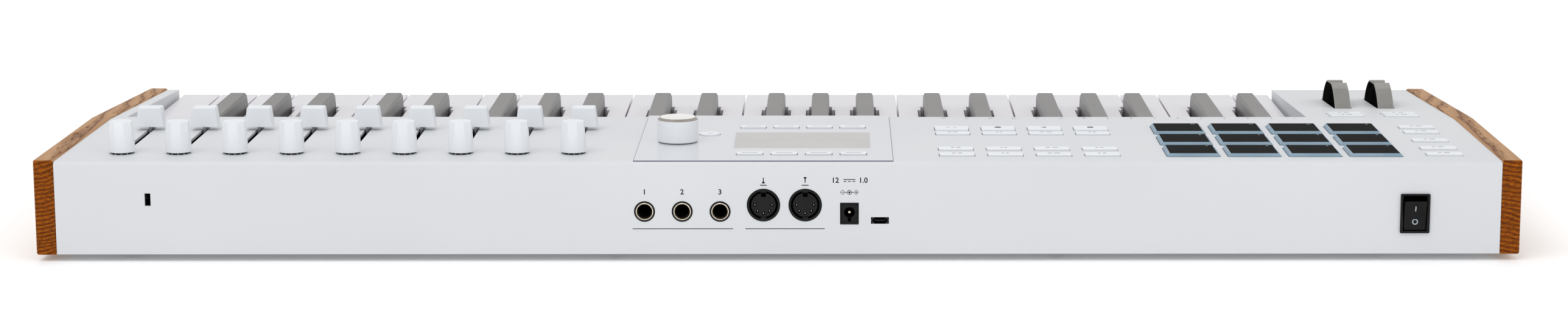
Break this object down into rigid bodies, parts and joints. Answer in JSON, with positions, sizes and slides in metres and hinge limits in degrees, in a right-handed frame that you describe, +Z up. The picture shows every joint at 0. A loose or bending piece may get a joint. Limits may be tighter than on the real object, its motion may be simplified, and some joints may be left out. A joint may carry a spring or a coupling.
{
  "type": "synthesizer",
  "caption": "Desktop keyboard synthesizer with white folded steel case, timber cheeks, piano keys, knobs, faders, pads, display, pitch and modulation wheels and rear sockets.",
  "frame": {"origin": "middle of the object's box, at the height of the table it stands on", "axes": "+Z up, +Y towards the rear panel, +X towards the player's right, the high keys"},
  "size_m": [0.798, 0.3066, 0.0721],
  "materials": {
    "case_paint": "satin powder coat",
    "base_paint": "matt powder coat",
    "timber": "oiled open grain",
    "foot_rubber": "moulded",
    "zinc_steel": "zinc plated",
    "white_key": "polished moulding",
    "grey_key": "satin moulding",
    "cap_plastic": "satin moulding",
    "display_cover": "polished, printed behind",
    "screen": "switched off panel",
    "circuit_board": "solder mask",
    "felt": "pressed wool",
    "wheel_grey": "soft touch",
    "pad_rubber": "silicone with a clear blue skirt",
    "black_plastic": "moulded",
    "nickel": "nickel plated"
  },
  "bodies": {
    "root": {"top_cover": "case_paint", "base_pan": "base_paint", "cheek_left": "timber", "cheek_right": "timber", "rubber_feet": "foot_rubber", "case_screws": "zinc_steel", "keybed_chassis": "zinc_steel", "key_pivot_rail": "zinc_steel", "key_felts": "felt", "key_contact_board": "circuit_board", "display_glass": "display_cover", "lcd_module": "screen", "control_board": "circuit_board", "main_board": "circuit_board", "slide_pots": "zinc_steel", "rotary_encoders": "zinc_steel", "wheel_bracket": "zinc_steel", "jack_sockets": "black_plastic", "midi_sockets": "black_plastic", "power_socket": "black_plastic", "usb_socket": "nickel", "switch_housing": "black_plastic"},
    "key_c": {"key_c": "white_key"},
    "key_c_sharp": {"key_c_sharp": "grey_key"},
    "pitch_wheel": {"pitch_wheel": "wheel_grey"},
    "mod_wheel": {"mod_wheel": "wheel_grey"},
    "main_dial": {"main_dial": "cap_plastic"},
    "power_rocker": {"power_rocker": "black_plastic"},
    "pads": {"pads": "pad_rubber"},
    "display_buttons": {"display_buttons": "cap_plastic"},
    "panel_buttons": {"panel_buttons": "cap_plastic"},
    "side_buttons": {"side_buttons": "cap_plastic"},
    "knob_1": {"knob_1": "cap_plastic"},
    "fader_1": {"fader_1": "cap_plastic"},
    "fader_5": {"fader_5": "cap_plastic"},
    "fader_9": {"fader_9": "cap_plastic"},
    "key_d": {"key_d": "white_key"},
    "key_d_sharp": {"key_d_sharp": "grey_key"},
    "key_e": {"key_e": "white_key"},
    "key_f": {"key_f": "white_key"},
    "key_f_sharp": {"key_f_sharp": "grey_key"},
    "key_g": {"key_g": "white_key"},
    "key_g_sharp": {"key_g_sharp": "grey_key"},
    "key_a": {"key_a": "white_key"},
    "key_a_sharp": {"key_a_sharp": "grey_key"},
    "key_b": {"key_b": "white_key"},
    "knob_2": {"knob_2": "cap_plastic"},
    "knob_3": {"knob_3": "cap_plastic"},
    "knob_4": {"knob_4": "cap_plastic"},
    "knob_5": {"knob_5": "cap_plastic"},
    "knob_6": {"knob_6": "cap_plastic"},
    "knob_7": {"knob_7": "cap_plastic"},
    "knob_8": {"knob_8": "cap_plastic"},
    "knob_9": {"knob_9": "cap_plastic"},
    "fader_2": {"fader_2": "cap_plastic"},
    "fader_3": {"fader_3": "cap_plastic"},
    "fader_4": {"fader_4": "cap_plastic"},
    "fader_6": {"fader_6": "cap_plastic"},
    "fader_7": {"fader_7": "cap_plastic"},
    "fader_8": {"fader_8": "cap_plastic"}
  },
  "joints": [
    {"name": "press_key_c", "type": "hinge", "parent": "root", "child": "key_c", "pos_m": [0, 0.05773, 0.036], "axis": [1, 0, 0], "range_deg": [0, 2.75], "stiffness_Nm_per_rad": 2, "springref_deg": -17.19},
    {"name": "press_key_c_sharp", "type": "hinge", "parent": "root", "child": "key_c_sharp", "pos_m": [0, 0.05773, 0.036], "axis": [1, 0, 0], "range_deg": [0, 2.75], "stiffness_Nm_per_rad": 2, "springref_deg": -17.19},
    {"name": "roll_pitch_wheel", "type": "hinge", "parent": "root", "child": "pitch_wheel", "pos_m": [-0.35795, -0.07, 0.03544], "axis": [-1, 0, 0], "range_deg": [-35, 35], "stiffness_Nm_per_rad": 0.03},
    {"name": "roll_mod_wheel", "type": "hinge", "parent": "root", "child": "mod_wheel", "pos_m": [-0.3322, -0.07, 0.03544], "axis": [-1, 0, 0], "range_deg": [-35, 35]},
    {"name": "turn_main_dial", "type": "hinge", "parent": "root", "child": "main_dial", "pos_m": [0.0581, 0.08873, 0.06], "axis": [0, 0, -1], "continuous": true},
    {"name": "tip_power_rocker", "type": "hinge", "parent": "root", "child": "power_rocker", "pos_m": [-0.34155, 0.14623, 0.02615], "axis": [1, 0, 0], "range_deg": [0, 20]},
    {"name": "press_pads", "type": "slide", "parent": "root", "child": "pads", "axis": [0, 0, -1], "range_m": [0, 0.001], "stiffness_N_per_m": 2000, "springref_m": -0.001},
    {"name": "press_display_buttons", "type": "slide", "parent": "root", "child": "display_buttons", "axis": [0, 0, -1], "range_m": [0, 0.0008], "stiffness_N_per_m": 800, "springref_m": -0.001},
    {"name": "press_panel_buttons", "type": "slide", "parent": "root", "child": "panel_buttons", "axis": [0, 0, -1], "range_m": [0, 0.0008], "stiffness_N_per_m": 1200, "springref_m": -0.001},
    {"name": "press_side_buttons", "type": "slide", "parent": "root", "child": "side_buttons", "axis": [0, 0, -1], "range_m": [0, 0.0008], "stiffness_N_per_m": 1000, "springref_m": -0.001},
    {"name": "turn_knob_1", "type": "hinge", "parent": "root", "child": "knob_1", "pos_m": [0.1131, 0.12273, 0.06], "axis": [0, 0, -1], "continuous": true},
    {"name": "slide_fader_1", "type": "slide", "parent": "root", "child": "fader_1", "axis": [0, 1, 0], "range_m": [0, 0.05]},
    {"name": "slide_fader_5", "type": "slide", "parent": "root", "child": "fader_5", "axis": [0, 1, 0], "range_m": [0, 0.05]},
    {"name": "slide_fader_9", "type": "slide", "parent": "root", "child": "fader_9", "axis": [0, 1, 0], "range_m": [0, 0.05]},
    {"name": "press_key_d", "type": "hinge", "parent": "root", "child": "key_d", "pos_m": [0, 0.05773, 0.036], "axis": [1, 0, 0], "range_deg": [0, 2.75], "stiffness_Nm_per_rad": 2, "springref_deg": -17.19},
    {"name": "press_key_d_sharp", "type": "hinge", "parent": "root", "child": "key_d_sharp", "pos_m": [0, 0.05773, 0.036], "axis": [1, 0, 0], "range_deg": [0, 2.75], "stiffness_Nm_per_rad": 2, "springref_deg": -17.19},
    {"name": "press_key_e", "type": "hinge", "parent": "root", "child": "key_e", "pos_m": [0, 0.05773, 0.036], "axis": [1, 0, 0], "range_deg": [0, 2.75], "stiffness_Nm_per_rad": 2, "springref_deg": -17.19},
    {"name": "press_key_f", "type": "hinge", "parent": "root", "child": "key_f", "pos_m": [0, 0.05773, 0.036], "axis": [1, 0, 0], "range_deg": [0, 2.75], "stiffness_Nm_per_rad": 2, "springref_deg": -17.19},
    {"name": "press_key_f_sharp", "type": "hinge", "parent": "root", "child": "key_f_sharp", "pos_m": [0, 0.05773, 0.036], "axis": [1, 0, 0], "range_deg": [0, 2.75], "stiffness_Nm_per_rad": 2, "springref_deg": -17.19},
    {"name": "press_key_g", "type": "hinge", "parent": "root", "child": "key_g", "pos_m": [0, 0.05773, 0.036], "axis": [1, 0, 0], "range_deg": [0, 2.75], "stiffness_Nm_per_rad": 2, "springref_deg": -17.19},
    {"name": "press_key_g_sharp", "type": "hinge", "parent": "root", "child": "key_g_sharp", "pos_m": [0, 0.05773, 0.036], "axis": [1, 0, 0], "range_deg": [0, 2.75], "stiffness_Nm_per_rad": 2, "springref_deg": -17.19},
    {"name": "press_key_a", "type": "hinge", "parent": "root", "child": "key_a", "pos_m": [0, 0.05773, 0.036], "axis": [1, 0, 0], "range_deg": [0, 2.75], "stiffness_Nm_per_rad": 2, "springref_deg": -17.19},
    {"name": "press_key_a_sharp", "type": "hinge", "parent": "root", "child": "key_a_sharp", "pos_m": [0, 0.05773, 0.036], "axis": [1, 0, 0], "range_deg": [0, 2.75], "stiffness_Nm_per_rad": 2, "springref_deg": -17.19},
    {"name": "press_key_b", "type": "hinge", "parent": "root", "child": "key_b", "pos_m": [0, 0.05773, 0.036], "axis": [1, 0, 0], "range_deg": [0, 2.75], "stiffness_Nm_per_rad": 2, "springref_deg": -17.19},
    {"name": "turn_knob_2", "type": "hinge", "parent": "root", "child": "knob_2", "pos_m": [0.1436, 0.12273, 0.06], "axis": [0, 0, -1], "continuous": true},
    {"name": "turn_knob_3", "type": "hinge", "parent": "root", "child": "knob_3", "pos_m": [0.1741, 0.12273, 0.06], "axis": [0, 0, -1], "continuous": true},
    {"name": "turn_knob_4", "type": "hinge", "parent": "root", "child": "knob_4", "pos_m": [0.2046, 0.12273, 0.06], "axis": [0, 0, -1], "continuous": true},
    {"name": "turn_knob_5", "type": "hinge", "parent": "root", "child": "knob_5", "pos_m": [0.2351, 0.12273, 0.06], "axis": [0, 0, -1], "continuous": true},
    {"name": "turn_knob_6", "type": "hinge", "parent": "root", "child": "knob_6", "pos_m": [0.2656, 0.12273, 0.06], "axis": [0, 0, -1], "continuous": true},
    {"name": "turn_knob_7", "type": "hinge", "parent": "root", "child": "knob_7", "pos_m": [0.2961, 0.12273, 0.06], "axis": [0, 0, -1], "continuous": true},
    {"name": "turn_knob_8", "type": "hinge", "parent": "root", "child": "knob_8", "pos_m": [0.3266, 0.12273, 0.06], "axis": [0, 0, -1], "continuous": true},
    {"name": "turn_knob_9", "type": "hinge", "parent": "root", "child": "knob_9", "pos_m": [0.3571, 0.12273, 0.06], "axis": [0, 0, -1], "continuous": true},
    {"name": "slide_fader_2", "type": "slide", "parent": "root", "child": "fader_2", "axis": [0, 1, 0], "range_m": [0, 0.05]},
    {"name": "slide_fader_3", "type": "slide", "parent": "root", "child": "fader_3", "axis": [0, 1, 0], "range_m": [0, 0.05]},
    {"name": "slide_fader_4", "type": "slide", "parent": "root", "child": "fader_4", "axis": [0, 1, 0], "range_m": [0, 0.05]},
    {"name": "slide_fader_6", "type": "slide", "parent": "root", "child": "fader_6", "axis": [0, 1, 0], "range_m": [0, 0.05]},
    {"name": "slide_fader_7", "type": "slide", "parent": "root", "child": "fader_7", "axis": [0, 1, 0], "range_m": [0, 0.05]},
    {"name": "slide_fader_8", "type": "slide", "parent": "root", "child": "fader_8", "axis": [0, 1, 0], "range_m": [0, 0.05]}
  ]
}
